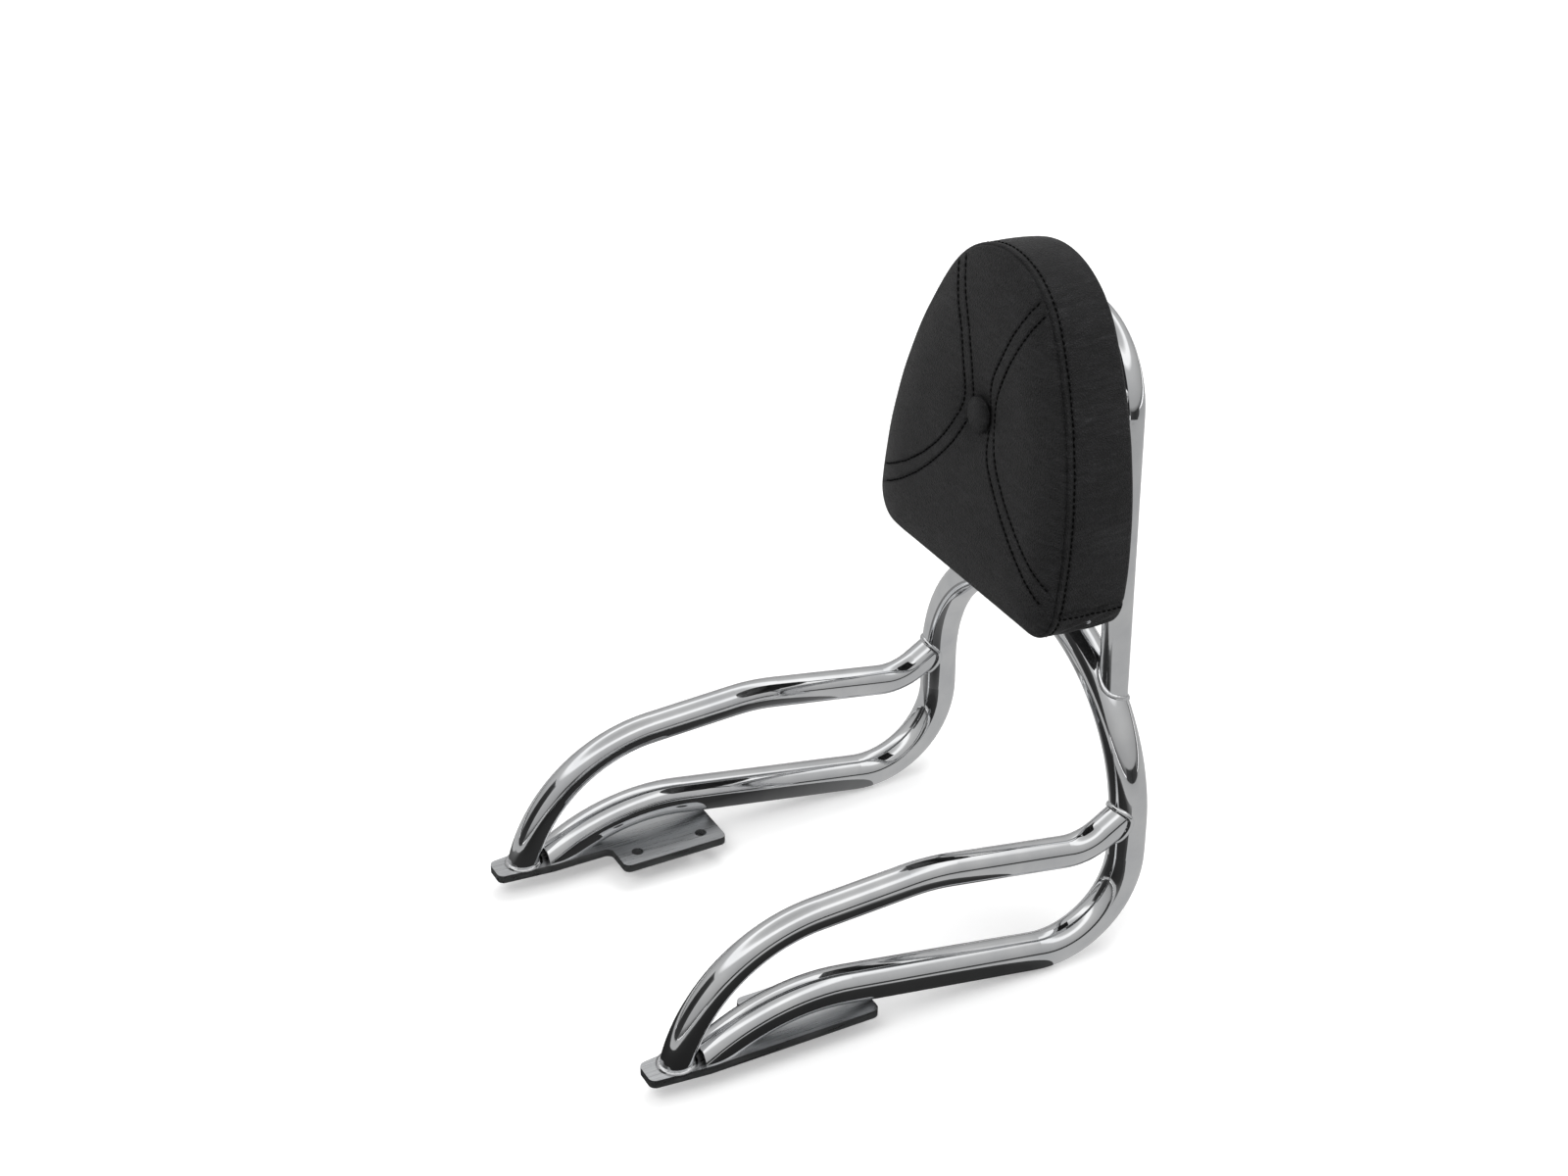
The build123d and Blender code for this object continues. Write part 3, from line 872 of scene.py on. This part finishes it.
lamps = {  # place, aim, size and watts
    "keySoftbox": ((-1.3, -1.1, 2.3), (0.15, 0, 0.2), (1.6, 1.2), 34),
    "topSoftbox": ((0.6, 0.4, 2.6), (0.15, 0, 0.2), (2.0, 1.6), 30),
    "rearFill": ((1.6, -1.6, 1.2), (0.15, 0, 0.25), (1.2, 1.2), 10),
}


def addLamp(name, place, aim, size, power):
    data = bpy.data.lights.new(name, "AREA")
    data.shape = "RECTANGLE"
    data.size, data.size_y = size
    data.energy = power
    lamp = bpy.data.objects.new(name, data)
    lamp.location = place
    lamp.visible_glossy = False  # the tent and the panels make the reflections
    lamp.rotation_euler = (Vector(aim) - Vector(place)).to_track_quat("-Z", "Y").to_euler()
    bpy.context.scene.collection.objects.link(lamp)


# a dome and four panels, seen in polished metal and nowhere else
tent = {"radius": 4.0, "around": 48, "levels": 24, "strength": 1.15,
        "tones": ((0.0, 0.08), (0.05, 0.14), (0.12, 0.34), (0.40, 0.42), (0.66, 0.50), (0.74, 1.0), (0.84, 1.0),
                  (0.91, 0.55), (1.0, 0.42))}  # share of the height, brightness
panels = {  # place, aim, size, and brightness from the middle out
    "floorPanel": ((0.05, 0.0, -0.0152), (0.05, 0.0, 1.0), (5.0, 5.0), ((0.0, 0.44), (0.3, 0.40), (1.0, 0.30))),
    "lowPanel": ((-0.12, -0.14, -0.0148), (-0.12, -0.14, 1.0), (0.60, 0.72),
                 ((0.0, 0.015), (0.6, 0.03), (0.85, 0.16), (1.0, 0.36))),
    "frontPanel": ((-1.7, 0.25, 0.55), (0.1, 0, 0.2), (1.3, 1.5), ((0.0, 0.02), (0.7, 0.04), (1.0, 0.2))),
    "nearPanel": ((0.35, -2.0, 0.12), (0.1, 0, 0.1), (2.6, 0.30), ((0.0, 0.03), (0.8, 0.05), (1.0, 0.2))),
}


def fromFloor(tree):
    split = addNode(tree, "ShaderNodeSeparateXYZ")
    tree.links.new(objectPlace(tree), split.inputs["Vector"])
    return split.outputs["Z"]


def addGlow(name, coords, faces, measure, reach, tones):
    mesh = bpy.data.meshes.new(name)
    mesh.from_pydata(coords, [], faces)
    card = bpy.data.objects.new(name, mesh)
    bpy.context.scene.collection.objects.link(card)
    mat, tree, shader = startMaterial(name + "Tone")
    tree.nodes.remove(shader)
    glow = addNode(tree, "ShaderNodeEmission", Strength=tent["strength"])
    share = addNode(tree, "ShaderNodeMath", operation="DIVIDE")
    share.inputs[1].default_value = reach
    tree.links.new(measure(tree), share.inputs[0])
    stops = [(place, grey(tone)) for place, tone in tones]
    tree.links.new(addRamp(tree, share.outputs["Value"], stops), glow.inputs["Color"])
    tree.links.new(glow.outputs["Emission"], tree.nodes["Material Output"].inputs["Surface"])
    mesh.materials.append(mat)
    for ray in ("camera", "diffuse", "shadow", "transmission", "volume_scatter"):
        setattr(card, "visible_" + ray, False)
    return card


def addTent():
    coords = []
    for j in range(tent["levels"] + 1):
        rise = math.pi / 2 * j / tent["levels"]
        wide, high = tent["radius"] * math.cos(rise), tent["radius"] * math.sin(rise)
        for k in range(tent["around"]):
            a = turn(k, tent["around"])
            coords.append((wide * math.cos(a), wide * math.sin(a), high))
    faces = ringFaces(tent["levels"] + 1, tent["around"])
    addGlow("reflectionTent", coords, faces, fromFloor, tent["radius"], tent["tones"])


def addPanel(name, place, aim, size, tones):
    x, y = size[0] / 2, size[1] / 2
    coords = [(-x, -y, 0), (x, -y, 0), (x, y, 0), (-x, y, 0)]
    card = addGlow(name, coords, [(0, 1, 2, 3)], fromMiddle, math.hypot(x, y), tones)
    card.location = place
    card.rotation_euler = (Vector(aim) - Vector(place)).to_track_quat("Z", "Y").to_euler()


makeFloor()
makeWorld()
for name, values in lamps.items():
    addLamp(name, *values)
addTent()
for name, values in panels.items():
    addPanel(name, *values)

cameraForm = {"place": (-0.6571, -1.3176, 1.1011), "azimuth": -27.937, "elevation": 29.626, "lens": 60.75}
cameraData = bpy.data.cameras.new("photoCamera")
cameraData.lens = cameraForm["lens"]
cameraData.sensor_width = 36.0
camera = bpy.data.objects.new("photoCamera", cameraData)
camera.location = cameraForm["place"]
camera.rotation_euler = (math.radians(90 - cameraForm["elevation"]), 0, math.radians(cameraForm["azimuth"]))
bpy.context.scene.collection.objects.link(camera)
bpy.context.scene.camera = camera
bpy.context.scene.view_settings.view_transform = "Standard"
print("stage lit")
